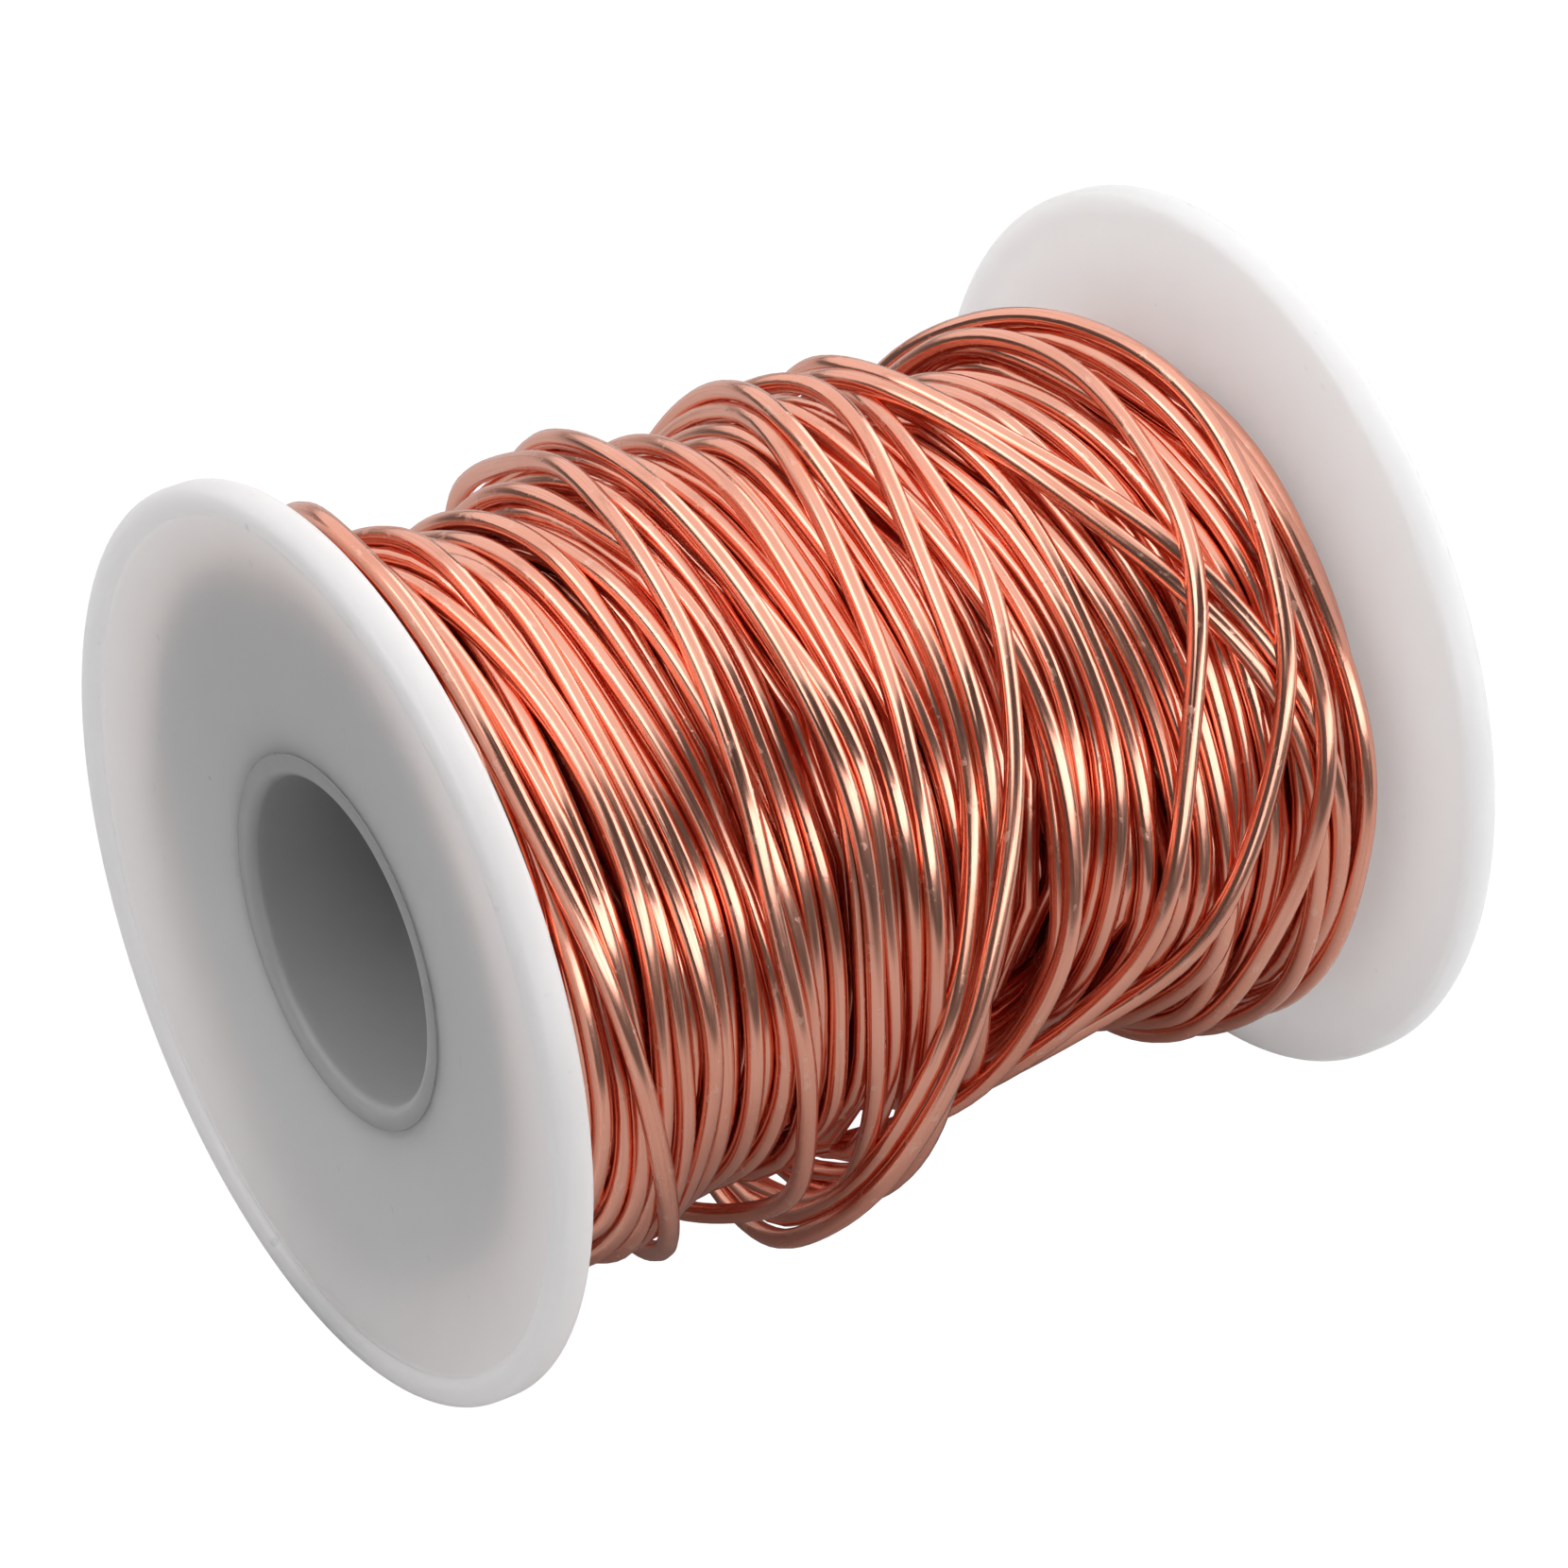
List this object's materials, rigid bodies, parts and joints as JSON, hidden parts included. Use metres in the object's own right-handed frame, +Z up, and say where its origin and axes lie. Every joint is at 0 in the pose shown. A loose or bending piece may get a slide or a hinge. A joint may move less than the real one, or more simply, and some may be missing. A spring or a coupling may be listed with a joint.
{
  "type": "wire spool",
  "caption": "Round moulded spool with two flanges and a through bore, full of random-wound bare copper wire.",
  "frame": {"origin": "middle of the spool, on the axis of its bore", "axes": "+Y along the bore from the front flange to the rear flange, +Z up with the spool lying on its two rims"},
  "size_m": [0.053, 0.0612, 0.053],
  "materials": {
    "flange_plastic": "white, slightly translucent, satin moulded",
    "tube_plastic": "white, slightly translucent, satin moulded",
    "copper_wire": "bare bright drawn copper"
  },
  "bodies": {
    "root": {"core_tube": "tube_plastic", "front_flange": "flange_plastic", "rear_flange": "flange_plastic", "wire_winding": "copper_wire"}
  },
  "joints": []
}
